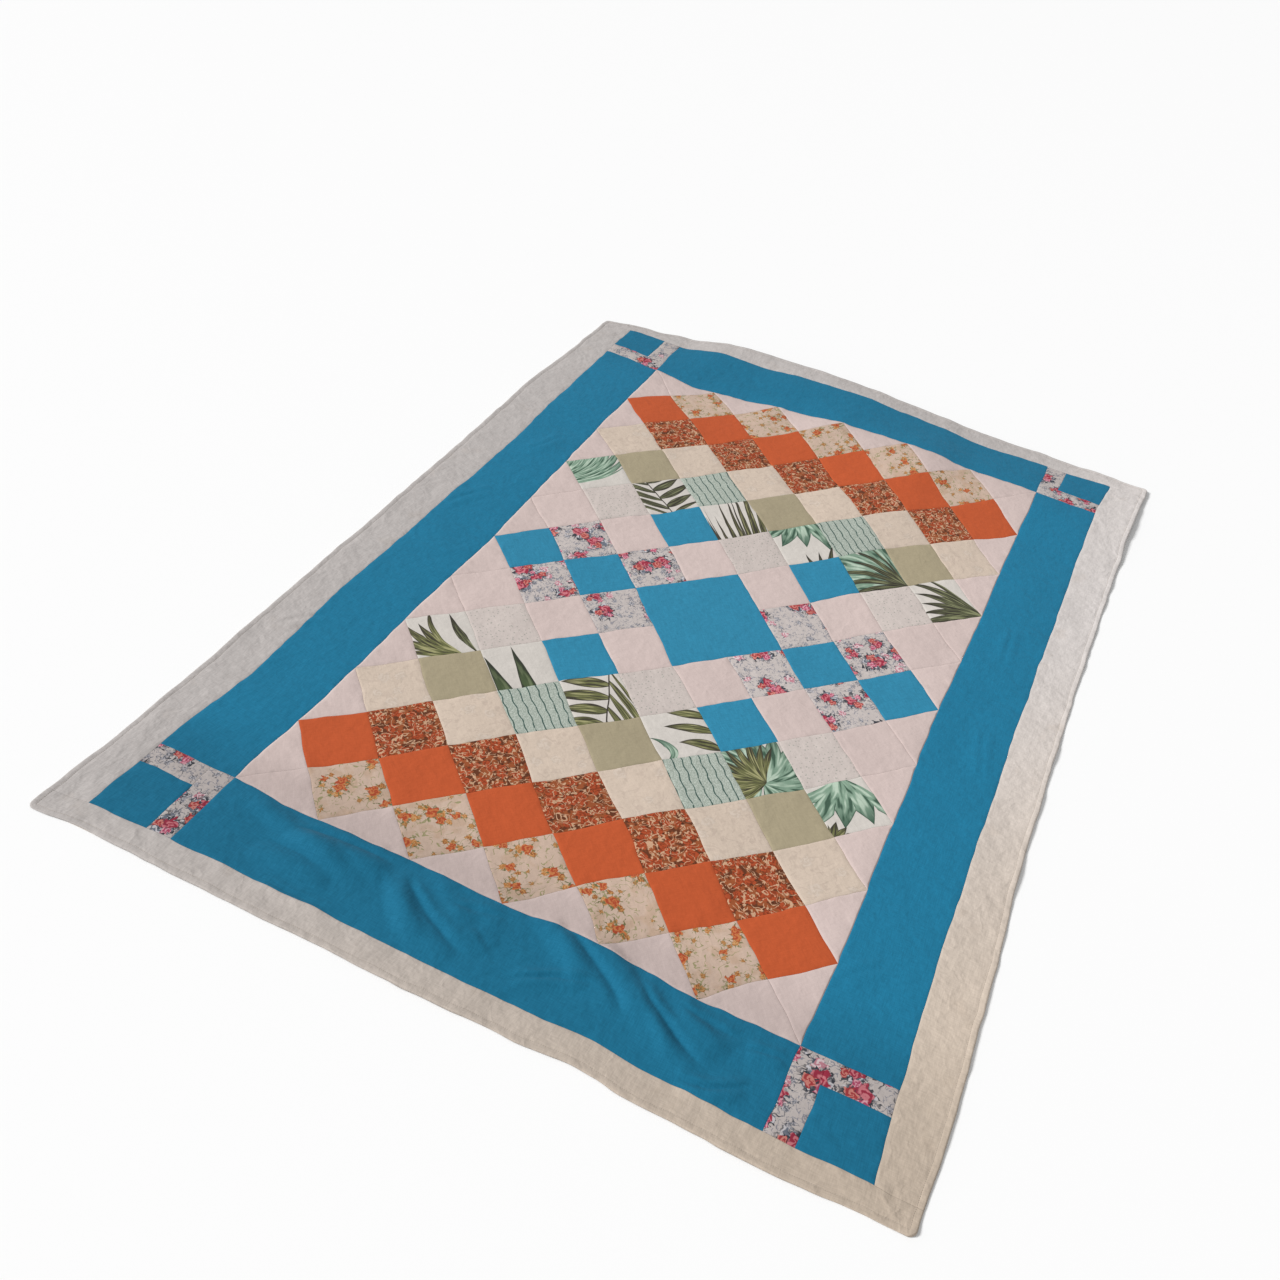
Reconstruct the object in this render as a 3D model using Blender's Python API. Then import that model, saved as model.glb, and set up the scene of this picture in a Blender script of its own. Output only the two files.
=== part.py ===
"""Patchwork quilt, laid out on a floor.

Frame: metres, +X across the quilt, +Y along it, +Z up. The origin is under the middle of
the laid quilt's box, on the floor.

Every piece is cut flat on one shared grid and then laid: its floor side follows the shape in
which the cloth lies, and it is given its thickness straight up, so that pieces sewn side by
side keep one even gap however the cloth sways and folds.
"""
import bmesh
import bpy
import numpy as np

MM = 0.001

# ---- driving sizes, as sewn
PATCH_DIAGONAL = 0.1143 * 2 ** 0.5      # a 4 1/2 inch patch, set on its point
POINTS_ACROSS = 6                       # diagonals in the patchwork panel's width
POINTS_ALONG = 10                       # and in its length
BORDER = 0.144                          # width of the blue strips and of the corner blocks
CORNER_STRIP = 0.044                    # the two floral strips in each corner block
SIDE_RIM = 0.083                        # plain outer strips down the sides
END_RIM = 0.052                         # and along the ends
THICKNESS = 0.003
SEAM_GAP = 0.0003

# ---- distances from the middle to each seam
PANEL_X = POINTS_ACROSS * PATCH_DIAGONAL / 2
PANEL_Y = POINTS_ALONG * PATCH_DIAGONAL / 2
BLOCK_X = PANEL_X + CORNER_STRIP
BLOCK_Y = PANEL_Y + CORNER_STRIP
BLUE_X = PANEL_X + BORDER
BLUE_Y = PANEL_Y + BORDER
EDGE_X = BLUE_X + SIDE_RIM
EDGE_Y = BLUE_Y + END_RIM

# ---- how the cloth lies: short tables, in millimetres
# Shift towards +X of each line that runs the length of the quilt, at stations from end to end.
LENGTH_STATIONS = (-EDGE_Y, -PANEL_Y, -0.57, -0.32, 0.0, 0.32, 0.57, PANEL_Y, EDGE_Y)
SIDE_SWAY = {
    "left edge":        (-12, -3, 0, 0, 0, -2, -7, 5, 8),
    "left rim seam":    (-23, -16, 2, -3, 2, 8, 2, 0, 2),
    "left panel seam":  (-14, -11, -2, 0, 8, 2, -2, -2, 0),
    "middle":           (0, 0, 0, 4, 0, 1, -2, 0, 0),
    "right panel seam": (2, 2, 3, -2, -9, -6, -6, -3, -4),
    "right rim seam":   (17, 8, -3, -6, -11, -10, -10, -9, 6),
    "right edge":       (1, 6, 0, -9, -14, -12, -9, -7, 5),
}
SIDE_LINES = (-EDGE_X, -BLUE_X, -PANEL_X, 0.0, PANEL_X, BLUE_X, EDGE_X)

# Shift towards +Y of each line that runs across the quilt, at stations from side to side.
WIDTH_STATIONS = (-EDGE_X, -0.59, -PANEL_X, -0.37, -0.26, -0.14, 0.0, 0.11, 0.21, 0.33, PANEL_X, EDGE_X)
END_SWAY = {
    "near edge":       (-7, -2, 0, 0, 1, 4, 4, 8, 15, 8, 6, 14),
    "near rim seam":   (-16, -9, -2, 0, 1, 3, 2, 5, 10, 5, 3, 4),
    "near panel seam": (0, 2, 3, -3, 2, 8, 5, 17, 9, 3, 8, 12),
    "middle":          (-8, -10, -11, -4, -2, -4, -8, -10, -13, -13, -9, -9),
    "far third":       (-10, -12, -12, 0, 2, 5, 10, 14, 16, 4, -10, 0),
    "far panel seam":  (0, 8, 0, -18, -5, 6, 13, 15, 17, 11, 20, 22),
    "far rim seam":    (-24, 2, 0, 19, 18, 22, 23, 16, 12, 4, 12, 25),
    "far edge":        (-40, -19, 5, 23, 29, 29, 29, 22, 16, 11, 12, 15),
}
# Height of the floor side above the floor on the same lines: the far end lies in a low swell.
END_RISE = {
    "near edge":       (0, 0, 0, 0, 0, 0, 0, 0, 0, 0, 0, 0),
    "near rim seam":   (0, 0, 0, 0, 0, 0, 0, 0, 0, 0, 0, 0),
    "near panel seam": (0, 0, 0, 0, 0, 0, 0, 0, 0, 0, 0, 0),
    "middle":          (0, 0, 0, 0, 0, 0, 0, 0, 0, 0, 0, 0),
    "far third":       (0, 0, 0, 0, 0, 2, 5, 7, 8, 6, 2, 0),
    "far panel seam":  (0, 0, 0, 0, 2, 10, 20, 24, 24, 15, 12, 6),
    "far rim seam":    (0, 0, 0, 10, 12, 18, 22, 18, 14, 8, 6, 4),
    "far edge":        (0, 0, 0, 12, 18, 18, 18, 14, 10, 7, 5, 2),
}
FAR_THIRD = 0.57
END_LINES = (-EDGE_Y, -BLUE_Y, -PANEL_Y, 0.0, FAR_THIRD, PANEL_Y, BLUE_Y, EDGE_Y)

# Soft ridges, mostly in the near blue strip. The bow is how far the ridge's middle swings to
# the left of the line from its start to its end.
FOLDS = (
    # start x, start y, end x, end y, bow, reach, height
    (-462, -826, -190, -896, 14, 25, 10),
    (-400, -908, -225, -918, 4, 24, 4),
    (-172, -832, -70, -938, -8, 26, 7),
    (-118, -806, 24, -902, -6, 25, 9),
    (-46, -812, 34, -872, 8, 22, 4),
    (52, -800, 176, -884, 6, 27, 6),
    (146, -796, 268, -890, 12, 25, 8),
    (234, -816, 340, -920, -6, 22, 6),
    (286, -806, 406, -888, -8, 25, 8),
    (350, -918, 446, -900, 4, 18, 3),
)
LAID_CENTRE = (-0.003, 0.011)           # middle of the laid quilt's box, before it is centred

# ---- grid: the seams, and how many cells lie between each and the next
SEAMS_X = (-EDGE_X, -BLUE_X, -BLOCK_X, -PANEL_X, PANEL_X, BLOCK_X, BLUE_X, EDGE_X)
CELLS_X = (2, 3, 1, 32, 1, 3, 2)
SEAMS_Y = (-EDGE_Y, -BLUE_Y, -BLOCK_Y, -PANEL_Y, PANEL_Y, BLOCK_Y, BLUE_Y, EDGE_Y)
CELLS_Y = (2, 5, 2, 28, 1, 3, 2)

# ---- cloths: base colour and roughness
CLOTHS = {
    "blue_cotton": ((0.022, 0.190, 0.360), 0.85),
    "rose_print": ((0.620, 0.560, 0.540), 0.85),
    "patch_cottons": ((0.560, 0.420, 0.340), 0.85),
    "cream_calico": ((0.520, 0.450, 0.390), 0.88),
}


def eased(marks, at):
    """The mark before each place, and the smooth share of the way from it to the next one."""
    marks = np.asarray(marks)
    before = np.clip(np.searchsorted(marks, at) - 1, 0, len(marks) - 2)
    share = np.clip((at - marks[before]) / (marks[before + 1] - marks[before]), 0, 1)
    return before, share * share * (3 - 2 * share)


def read_table(table, lines, stations, line_at, station_at):
    """Value of a table, in metres, between its lines and between its stations."""
    values = np.array(list(table.values())) * MM
    line, on = eased(lines, line_at)
    station, over = eased(stations, station_at)
    first = values[line, station] * (1 - over) + values[line, station + 1] * over
    second = values[line + 1, station] * (1 - over) + values[line + 1, station + 1] * over
    return first * (1 - on) + second * on


def fold_height(x, y):
    """Height of all the soft ridges together."""
    height = np.zeros_like(x)
    for row in FOLDS:
        start_x, start_y, end_x, end_y, bow, reach, rise = (value * MM for value in row)
        run_x, run_y = end_x - start_x, end_y - start_y
        length = np.hypot(run_x, run_y)
        along = np.clip(((x - start_x) * run_x + (y - start_y) * run_y) / length ** 2, 0, 1)
        across = ((y - start_y) * run_x - (x - start_x) * run_y) / length
        across = across - bow * 4 * along * (1 - along)
        profile = np.clip(1 - (across / reach) ** 2, 0, 1) ** 2
        height += rise * profile * (1 - (2 * along - 1) ** 4) ** 2
    return height


def lay(x, y):
    """Floor-side place of points of the flat quilt once it lies on the floor."""
    laid_x = x + read_table(SIDE_SWAY, SIDE_LINES, LENGTH_STATIONS, x, y)
    laid_y = y + read_table(END_SWAY, END_LINES, WIDTH_STATIONS, y, x)
    laid_z = read_table(END_RISE, END_LINES, WIDTH_STATIONS, y, x) + fold_height(x, y)
    return laid_x - LAID_CENTRE[0], laid_y - LAID_CENTRE[1], laid_z


def grid_lines(seams, cells, first, last):
    """Grid lines of a piece that lies between two seams, half a gap inside each."""
    lines = [seams[first]]
    for index in range(first, last):
        step = (seams[index + 1] - seams[index]) / cells[index]
        lines += [seams[index] + step * (count + 1) for count in range(cells[index])]
    lines[0] += SEAM_GAP / 2
    lines[-1] -= SEAM_GAP / 2
    return np.array(lines)


def cloth_material(name):
    colour, roughness = CLOTHS[name]
    material = bpy.data.materials.get(name) or bpy.data.materials.new(name)
    material.use_nodes = True
    shader = material.node_tree.nodes["Principled BSDF"]
    shader.inputs["Base Color"].default_value = (*colour, 1.0)
    shader.inputs["Roughness"].default_value = roughness
    shader.inputs["Metallic"].default_value = 0.0
    return material


def cloth_piece(name, columns, rows, cloth, collection):
    """One cut piece between two seams each way, laid and given its thickness."""
    lines_x = grid_lines(SEAMS_X, CELLS_X, *columns)
    lines_y = grid_lines(SEAMS_Y, CELLS_Y, *rows)
    shape = bmesh.new()
    bmesh.ops.create_grid(shape, x_segments=len(lines_x) - 1, y_segments=len(lines_y) - 1, size=0.5)
    for vert in shape.verts:
        column = round((vert.co.x + 0.5) * (len(lines_x) - 1))
        row = round((vert.co.y + 0.5) * (len(lines_y) - 1))
        vert.co = np.concatenate(lay(lines_x[column:column + 1], lines_y[row:row + 1]))
    top = bmesh.ops.extrude_face_region(shape, geom=shape.faces[:])["geom"]
    top_verts = [part for part in top if isinstance(part, bmesh.types.BMVert)]
    bmesh.ops.translate(shape, verts=top_verts, vec=(0.0, 0.0, THICKNESS))
    bmesh.ops.triangulate(shape, faces=shape.faces[:])
    bmesh.ops.recalc_face_normals(shape, faces=shape.faces[:])
    mesh = bpy.data.meshes.new(name)
    shape.to_mesh(mesh)
    shape.free()
    mesh.materials.append(cloth_material(cloth))
    piece = bpy.data.objects.new(name, mesh)
    collection.objects.link(piece)
    return piece


def build_quilt():
    for old in list(bpy.data.objects):
        bpy.data.objects.remove(old, do_unlink=True)
    quilt = bpy.data.collections.new("patchwork_quilt")
    bpy.context.scene.collection.children.link(quilt)

    def add(name, columns, rows, cloth):
        cloth_piece(name, columns, rows, cloth, quilt)

    add("patchwork_panel", (3, 4), (3, 4), "patch_cottons")
    add("border_left", (1, 3), (3, 4), "blue_cotton")
    add("border_right", (4, 6), (3, 4), "blue_cotton")
    add("border_near", (3, 4), (1, 3), "blue_cotton")
    add("border_far", (3, 4), (4, 6), "blue_cotton")
    add("rim_left", (0, 1), (1, 6), "cream_calico")
    add("rim_right", (6, 7), (1, 6), "cream_calico")
    add("rim_near", (0, 7), (0, 1), "cream_calico")
    add("rim_far", (0, 7), (6, 7), "cream_calico")

    # A corner block is a blue square with a floral strip on its two inner sides: the strip
    # beside the end border is as long as the block, and the other one butts against it.
    ends = {"near": ((1, 2), (2, 3), (1, 3)), "far": ((5, 6), (4, 5), (4, 6))}
    sides = {"left": ((1, 2), (2, 3)), "right": ((5, 6), (4, 5))}
    for end, (square_rows, strip_rows, block_rows) in ends.items():
        for side, (square_columns, strip_columns) in sides.items():
            add(f"corner_square_{end}_{side}", square_columns, square_rows, "blue_cotton")
            add(f"corner_strip_long_{end}_{side}", strip_columns, block_rows, "rose_print")
            add(f"corner_strip_short_{end}_{side}", square_columns, strip_rows, "rose_print")


build_quilt()
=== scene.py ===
"""Patchwork quilt laid out on a floor: its cloths, prints, seams, folds and stitches.

The cloth pieces are cut flat, in metres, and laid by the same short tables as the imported
model. Their tops then get what a sewn quilt shows: seams that sink between puffed patches,
pressed seam allowances, puckers, soft waves and a stitched hem.
"""

import bpy
import numpy as np
from mathutils import Matrix, Vector


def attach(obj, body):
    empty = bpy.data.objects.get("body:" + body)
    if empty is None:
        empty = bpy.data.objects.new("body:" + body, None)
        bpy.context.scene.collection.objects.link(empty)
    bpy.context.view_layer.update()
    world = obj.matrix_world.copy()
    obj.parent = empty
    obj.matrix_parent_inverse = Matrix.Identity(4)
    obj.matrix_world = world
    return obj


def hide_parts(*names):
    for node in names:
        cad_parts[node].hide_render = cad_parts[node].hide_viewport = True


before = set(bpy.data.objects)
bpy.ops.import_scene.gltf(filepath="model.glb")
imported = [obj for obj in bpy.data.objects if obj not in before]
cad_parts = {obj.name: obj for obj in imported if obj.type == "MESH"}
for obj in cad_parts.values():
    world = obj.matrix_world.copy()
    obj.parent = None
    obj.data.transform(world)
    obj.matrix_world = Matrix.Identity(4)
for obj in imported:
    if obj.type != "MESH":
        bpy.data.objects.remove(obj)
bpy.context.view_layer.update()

MM = 0.001
ROOT2 = 2 ** 0.5

# ---- driving sizes, as sewn
PATCH = 0.1143
PATCH_DIAGONAL = PATCH * ROOT2
POINTS_ACROSS = 6
POINTS_ALONG = 10
BORDER = 0.144
CORNER_STRIP = 0.044
SIDE_RIM = 0.083
END_RIM = 0.052
THICKNESS = 0.003

# ---- distances from the middle to each seam
PANEL_X = POINTS_ACROSS * PATCH_DIAGONAL / 2
PANEL_Y = POINTS_ALONG * PATCH_DIAGONAL / 2
BLOCK_X = PANEL_X + CORNER_STRIP
BLOCK_Y = PANEL_Y + CORNER_STRIP
BLUE_X = PANEL_X + BORDER
BLUE_Y = PANEL_Y + BORDER
EDGE_X = BLUE_X + SIDE_RIM
EDGE_Y = BLUE_Y + END_RIM

# ---- how the cloth lies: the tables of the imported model, in millimetres
LENGTH_STATIONS = (-EDGE_Y, -PANEL_Y, -0.57, -0.32, 0.0, 0.32, 0.57, PANEL_Y, EDGE_Y)
SIDE_SWAY = {
    "left edge":        (-12, -3, 0, 0, 0, -2, -7, 5, 8),
    "left rim seam":    (-23, -16, 2, -3, 2, 8, 2, 0, 2),
    "left panel seam":  (-14, -11, -2, 0, 8, 2, -2, -2, 0),
    "middle":           (0, 0, 0, 4, 0, 1, -2, 0, 0),
    "right panel seam": (2, 2, 3, -2, -9, -6, -6, -3, -4),
    "right rim seam":   (17, 8, -3, -6, -11, -10, -10, -9, 6),
    "right edge":       (1, 6, 0, -9, -14, -12, -9, -7, 5),
}
SIDE_LINES = (-EDGE_X, -BLUE_X, -PANEL_X, 0.0, PANEL_X, BLUE_X, EDGE_X)

WIDTH_STATIONS = (-EDGE_X, -0.59, -PANEL_X, -0.37, -0.26, -0.14, 0.0, 0.11, 0.21, 0.33, PANEL_X, EDGE_X)
END_SWAY = {
    "near edge":       (-7, -2, 0, 0, 1, 4, 4, 8, 15, 8, 6, 14),
    "near rim seam":   (-16, -9, -2, 0, 1, 3, 2, 5, 10, 5, 3, 4),
    "near panel seam": (0, 2, 3, -3, 2, 8, 5, 17, 9, 3, 8, 12),
    "middle":          (-8, -10, -11, -4, -2, -4, -8, -10, -13, -13, -9, -9),
    "far third":       (-10, -12, -12, 0, 2, 5, 10, 14, 16, 4, -10, 0),
    "far panel seam":  (0, 8, 0, -18, -5, 6, 13, 15, 17, 11, 20, 22),
    "far rim seam":    (-24, 2, 0, 19, 18, 22, 23, 16, 12, 4, 12, 25),
    "far edge":        (-40, -19, 5, 23, 29, 29, 29, 22, 16, 11, 12, 15),
}
END_RISE = {
    "near edge":       (0, 0, 0, 0, 0, 0, 0, 0, 0, 0, 0, 0),
    "near rim seam":   (0, 0, 0, 0, 0, 0, 0, 0, 0, 0, 0, 0),
    "near panel seam": (0, 0, 0, 0, 0, 0, 0, 0, 0, 0, 0, 0),
    "middle":          (0, 0, 0, 0, 0, 0, 0, 0, 0, 0, 0, 0),
    "far third":       (0, 0, 0, 0, 0, 2, 5, 7, 8, 6, 2, 0),
    "far panel seam":  (0, 0, 0, 0, 2, 10, 20, 24, 24, 15, 12, 6),
    "far rim seam":    (0, 0, 0, 10, 12, 18, 22, 18, 14, 8, 6, 4),
    "far edge":        (0, 0, 0, 12, 18, 18, 18, 14, 10, 7, 5, 2),
}
FAR_THIRD = 0.57
END_LINES = (-EDGE_Y, -BLUE_Y, -PANEL_Y, 0.0, FAR_THIRD, PANEL_Y, BLUE_Y, EDGE_Y)

# Its folds too, lower where one of the creases below runs beside them.
FOLDS = (
    # start x, start y, end x, end y, bow, reach, height
    (-462, -826, -190, -896, 14, 25, 6),
    (-400, -908, -225, -918, 4, 24, 2),
    (-172, -832, -70, -938, -8, 26, 6),
    (-118, -806, 24, -902, -6, 27, 4),
    (-46, -812, 34, -872, 8, 22, 1),
    (52, -800, 176, -884, 6, 27, 6),
    (146, -796, 268, -890, 12, 25, 7),
    (234, -816, 340, -920, -6, 22, 4),
    (286, -806, 406, -888, -8, 25, 4),
    (350, -918, 446, -900, 4, 18, 1),
)
LAID_CENTRE = (-0.003, 0.011)

# Sharp creases that only the visible cloth has. The cloth rises softly to both sides of each line.
CREASES = (
    # start x, start y, end x, end y, bow, reach and height on the right, reach and height on the left
    (-352, -838, -163, -826, 8, 22, 9.5, 8, 3.5),
    (-376, -876, -236, -884, 3, 18, 4.6, 10, 3.0),
    (-148, -840, -3, -915, -8, 20, 5.4, 11, 5.4),
    (-70, -846, 20, -830, 0, 11, 2.2, 8, 2.2),
    (-18, -862, 28, -889, 0, 10, 1.4, 9, 1.4),
    (66, -921, 190, -868, 7, 9, 4.6, 6, 4.6),
    (99, -804, 247, -899, 12, 15, 4.4, 10, 4.4),
    (235, -828, 386, -911, -6, 21, 5.6, 11, 5.6),
    (302, -829, 410, -842, -3, 16, 3.8, 9, 2.8),
    (341, -939, 445, -905, -9, 10, 4.8, 7, 4.8),
    (416, -850, 480, -839, 0, 9, 3.0, 7, 3.0),
    (-340, -945, -205, -947, 0, 8, 3.5, 6, 1.5),
    (-627, 24, -570, 138, 2, 10, 1.6, 9, 1.6),
    (-590, 300, -538, 418, -3, 10, 1.4, 9, 1.4),
    (-673, -462, -607, -390, 3, 11, 1.8, 9, 1.8),
    (-638, -560, -608, -519, 0, 9, 1.2, 8, 1.2),
    (549, 326, 560, 186, 3, 10, 1.6, 9, 1.6),
    (577, 18, 600, -142, -3, 10, 1.5, 9, 1.5),
    (490, -682, 563, -607, 4, 11, 1.8, 9, 1.8),
)

# ---- the sewn surface
SEAM_DEPTH = 0.0004           # how far a seam sinks
SEAM_REACH = 0.0021
PUFF = 0.0006                 # how far the middle of a patch stands above its edges
PUFF_REACH = 0.018
ALLOWANCE = 0.0064            # seam allowance, pressed to one side
ALLOWANCE_RISE = 0.00015
ALLOWANCE_SLOPE = 0.004       # how softly its cut edge shows through
HEM = 0.011                   # from the outer edge to the topstitching
HEM_RISE = 0.0003
HEM_SLOPE = 0.004
HEM_GROOVE = 0.0004
HEM_GROOVE_REACH = 0.0022
STITCH_PITCH = 0.0033
STITCH_LENGTH = 0.0025
STITCH_THICKNESS = 0.0005
ROLL = 0.0028                 # how far in the outer edge starts to turn down
CORNER_ROUND = 0.012
CLOTH = 0.0008                # thickness of one layer
LOWEST = 0.0009               # the top's outer edge, above the backing
BACKING_LIFT = 0.0001         # of the backing's underside above the floor
BACKING_THICKNESS = 0.0003
BACKING_INSET = 0.002         # inside the top's outer edge
PUCKER_REACH = 0.012          # how far from a seam its puckers go
LOT_SHADE = 0.03              # how much lighter or darker one cut piece is than the next

# ---- unevenness: how big, from one wave to the next, and its draw
SWAY_ACROSS = ((0.0022, 0.075, 11), (0.0011, 0.026, 12))
SWAY_ALONG = ((0.0022, 0.075, 13), (0.0011, 0.026, 14))
SOFT_WAVES = ((0.0011, 0.11, 21), (0.0006, 0.045, 22))
PUCKERS = ((0.0008, 0.015, 23),)
RIM_WAVES = ((0.0014, 0.042, 25), (0.0007, 0.019, 24))

# ---- how fine the cloth is divided: from seams and hems inwards, and then in even steps
FINE_MARKS = (0.0, 0.0008, 0.0022, 0.0042, 0.0072, 0.012)
HEM_MARKS = (0.0, 0.0007, 0.0018, 0.0032, 0.0060, 0.0085, 0.0097, 0.0110, 0.0123, 0.0137, 0.0160)
PATCH_STEP = 0.008
HALF_PATCH_STEP = 0.004
STRIP_STEP = 0.005
CREASED_STEP = 0.003


def smooth(share):
    """A share from 0 to 1 that starts and ends gently."""
    share = np.clip(share, 0, 1)
    return share * share * (3 - 2 * share)


def eased(marks, at):
    """The mark before each place, and the smooth share of the way from it to the next one."""
    marks = np.asarray(marks)
    before = np.clip(np.searchsorted(marks, at) - 1, 0, len(marks) - 2)
    return before, smooth((at - marks[before]) / (marks[before + 1] - marks[before]))


def read_table(table, lines, stations, line_at, station_at):
    """Value of a table, in metres, between its lines and between its stations."""
    values = np.array(list(table.values())) * MM
    line, on = eased(lines, line_at)
    station, over = eased(stations, station_at)
    first = values[line, station] * (1 - over) + values[line, station + 1] * over
    second = values[line + 1, station] * (1 - over) + values[line + 1, station + 1] * over
    return first * (1 - on) + second * on


def by_line(x, y, start_x, start_y, end_x, end_y, bow):
    """How much a bowed line acts at each place, and how far left of the line that place is."""
    run_x, run_y = end_x - start_x, end_y - start_y
    length = np.hypot(run_x, run_y)
    along = np.clip(((x - start_x) * run_x + (y - start_y) * run_y) / length ** 2, 0, 1)
    across = ((y - start_y) * run_x - (x - start_x) * run_y) / length
    return (1 - (2 * along - 1) ** 4) ** 2, across - bow * 4 * along * (1 - along)


def fold_height(x, y):
    """Height of the soft folds together."""
    height = np.zeros_like(x)
    for row in FOLDS:
        *line, reach, rise = (value * MM for value in row)
        share, across = by_line(x, y, *line)
        height += rise * share * np.clip(1 - (across / reach) ** 2, 0, 1) ** 2
    return height


def crease_height(x, y):
    """Height of the cloth to both sides of the creases."""
    height = np.zeros_like(x)
    for row in CREASES:
        *line, right, right_rise, left, left_rise = (value * MM for value in row)
        share, across = by_line(x, y, *line)
        out = np.abs(across) / np.where(across > 0, left, right)
        height += np.where(across > 0, left_rise, right_rise) * share * out * np.exp((1 - out ** 2) / 2)
    return height


def wander(x, y, size, seed):
    """Smooth random waves from -1 to 1, about one to each size."""
    count = 128
    lattice = np.random.default_rng(seed).uniform(-1, 1, (count, count))
    place_x, place_y = x / size + count / 2, y / size + count / 2
    cell_x, cell_y = np.floor(place_x).astype(int), np.floor(place_y).astype(int)
    over_x, over_y = smooth(place_x - cell_x), smooth(place_y - cell_y)

    def corner(step_x, step_y):
        return lattice[(cell_x + step_x) % count, (cell_y + step_y) % count]

    near = corner(0, 0) * (1 - over_x) + corner(1, 0) * over_x
    far = corner(0, 1) * (1 - over_x) + corner(1, 1) * over_x
    return near * (1 - over_y) + far * over_y


def waves(x, y, table):
    """Random waves of several sizes together."""
    return sum(rise * wander(x, y, size, seed) for rise, size, seed in table)


def lay(x, y):
    """Where points of the flat quilt's underside come to lie on the floor."""
    laid_x = x + read_table(SIDE_SWAY, SIDE_LINES, LENGTH_STATIONS, x, y)
    laid_y = y + read_table(END_SWAY, END_LINES, WIDTH_STATIONS, y, x)
    laid_z = read_table(END_RISE, END_LINES, WIDTH_STATIONS, y, x) + fold_height(x, y)
    return laid_x - LAID_CENTRE[0], laid_y - LAID_CENTRE[1], laid_z


def round_corners(x, y):
    """Bring the four outer corners in to an arc."""
    in_x = np.clip(CORNER_ROUND - (EDGE_X - np.abs(x)), 0, None)
    in_y = np.clip(CORNER_ROUND - (EDGE_Y - np.abs(y)), 0, None)
    reach = np.hypot(in_x, in_y)
    keep = np.where(reach > 0, np.maximum(in_x, in_y) / np.maximum(reach, 1e-9), 1)
    pull_x, pull_y = in_x * (1 - keep), in_y * (1 - keep)
    return x - np.sign(x) * pull_x, y - np.sign(y) * pull_y


def cloth_top(x, y, seam, allowance):
    """Place of the quilt's top, from flat places and the distance of each to its nearest seam."""
    edge = np.minimum(EDGE_X - np.abs(x), EDGE_Y - np.abs(y))
    x, y = round_corners(x, y)
    laid_x, laid_y, floor = lay(x, y)
    laid_x, laid_y = laid_x + waves(x, y, SWAY_ACROSS), laid_y + waves(x, y, SWAY_ALONG)
    puckers = waves(x, y, PUCKERS) * np.exp(-seam / PUCKER_REACH)
    height = THICKNESS + waves(x, y, SOFT_WAVES) + puckers + crease_height(x, y)
    height += PUFF * (1 - np.exp(-seam / PUFF_REACH))
    height += ALLOWANCE_RISE * np.clip((ALLOWANCE - allowance) / ALLOWANCE_SLOPE + 1 / 2, 0, 1)
    height -= SEAM_DEPTH * np.exp(-(seam / SEAM_REACH) ** 2)
    height += np.clip(1 - edge / SIDE_RIM, 0, 1) * waves(x, y, RIM_WAVES)
    height += HEM_RISE * np.clip((HEM - edge) / HEM_SLOPE + 1 / 4, 0, 1)
    height -= HEM_GROOVE * np.exp(-((edge - HEM) / HEM_GROOVE_REACH) ** 2)
    turn = np.clip(edge / ROLL, 0, 1)
    height = LOWEST + (height - LOWEST) * np.sqrt(1 - (1 - turn) ** 2)
    return np.stack([laid_x, laid_y, floor + np.maximum(height, LOWEST)], axis=-1)


def painted_light_and_shade(x, y):
    """Painted light and shade in the cloth's colour: the near end is darker, painted shade dulls the far
    end, and painted light makes the right rim brightest.
    """
    in_rim = (np.abs(x) > BLUE_X) | (np.abs(y) > BLUE_Y)
    near_end = smooth((-y - 0.68) / 0.14)
    # where the far end gets its painted shade
    far_end = np.clip((y - 0.74) / 0.12, 0, 1)
    # inside the rims: darker at the near end, painted shade at the far end, a little painted light towards
    # the right
    inner = 1 - 0.20 * near_end - 0.12 * far_end + 0.03 * x / EDGE_X
    # painted light: the right rim gets brighter in two steps, from its near end to its middle
    right_side = np.clip(x / EDGE_X - 0.6, 0, 0.4) / 0.4
    two_steps = 0.23 * smooth((y + 0.92) / 0.30) + 0.12 * smooth((y + 0.35) / 0.30)
    return np.where(in_rim, 0.89 + right_side * two_steps, inner)


# ---- cutting and joining the cloth

def graded(length, step, start=FINE_MARKS, end=FINE_MARKS):
    """Marks along a side: close together by the seams and hems, even between them."""
    start, end = np.array(start), np.array(end)
    count = max(2, round((length - start[-1] - end[-1]) / step))
    middle = np.linspace(start[-1], length - end[-1], count + 1)
    return np.concatenate([start[:-1], middle, length - end[-2::-1]])


def grid_faces(columns, rows):
    """Faces of a grid of points, row by row."""
    first = np.arange(columns - 1)[None, :] + columns * np.arange(rows - 1)[:, None]
    first = first.reshape(-1)
    return np.stack([first, first + 1, first + columns + 1, first + columns], axis=-1).tolist()


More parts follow.
